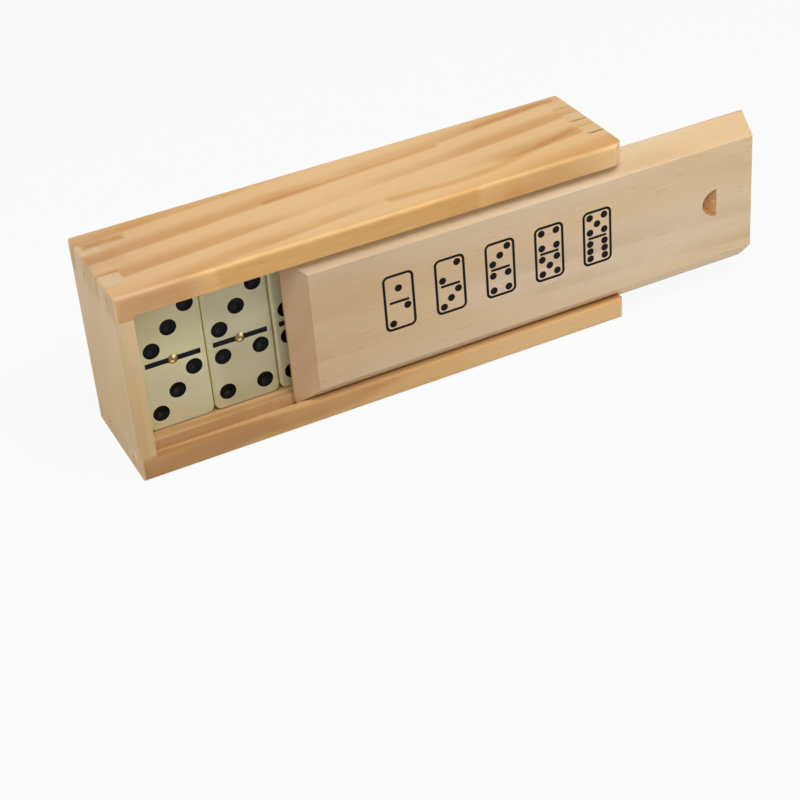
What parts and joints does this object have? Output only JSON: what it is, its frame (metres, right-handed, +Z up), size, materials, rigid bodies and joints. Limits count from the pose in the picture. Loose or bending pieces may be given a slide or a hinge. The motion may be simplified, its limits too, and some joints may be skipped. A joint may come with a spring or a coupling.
{
  "type": "domino storage box",
  "caption": "Finger-jointed wooden box with a bevelled lid that slides out at one end, packed with a double-six set of spinner dominoes.",
  "frame": {"origin": "centre of the long face that the box stands on, measured on the box without its open lid", "axes": "+X along the box, the way the lid slides out; -Y out of the lid side; +Z up"},
  "size_m": [0.2545, 0.05, 0.075],
  "materials": {
    "board_wood": "lacquered pine",
    "end_wood": "lacquered pine",
    "panel_wood": "thin pale panel",
    "lid_wood": "lacquered pale wood",
    "tile": "polished ivory-coloured resin",
    "brass": "polished"
  },
  "bodies": {
    "box": {"top_board": "board_wood", "bottom_board": "board_wood", "left_end": "end_wood", "right_end": "end_wood", "back_panel": "panel_wood", "domino_3_5": "tile", "domino_3_6": "tile", "domino_4_4": "tile", "domino_4_5": "tile", "domino_4_6": "tile", "domino_5_5": "tile", "domino_5_6": "tile", "domino_6_6": "tile", "domino_0_0": "tile", "domino_0_1": "tile", "domino_0_2": "tile", "domino_0_3": "tile", "domino_0_4": "tile", "domino_0_5": "tile", "domino_0_6": "tile", "domino_1_1": "tile", "domino_1_2": "tile", "domino_1_3": "tile", "domino_1_4": "tile", "domino_1_5": "tile", "domino_1_6": "tile", "domino_2_2": "tile", "domino_2_3": "tile", "domino_2_4": "tile", "domino_2_5": "tile", "domino_2_6": "tile", "row_1_pins": "brass", "row_2_pins": "brass", "row_3_pins": "brass", "row_4_pins": "brass"},
    "lid": {"lid": "lid_wood"},
    "domino_3_3": {"domino_3_3": "tile", "pin_3_3": "brass"},
    "domino_3_4": {"domino_3_4": "tile", "pin_3_4": "brass"}
  },
  "joints": [
    {"name": "lid_slide", "type": "slide", "parent": "box", "child": "lid", "axis": [1, 0, 0], "range_m": [-0.0565, 0.14]},
    {"name": "domino_3_3_lift_out", "type": "slide", "parent": "box", "child": "domino_3_3", "axis": [0, -1, 0], "range_m": [0, 0.06]},
    {"name": "domino_3_4_lift_out", "type": "slide", "parent": "box", "child": "domino_3_4", "axis": [0, -1, 0], "range_m": [0, 0.06]}
  ]
}
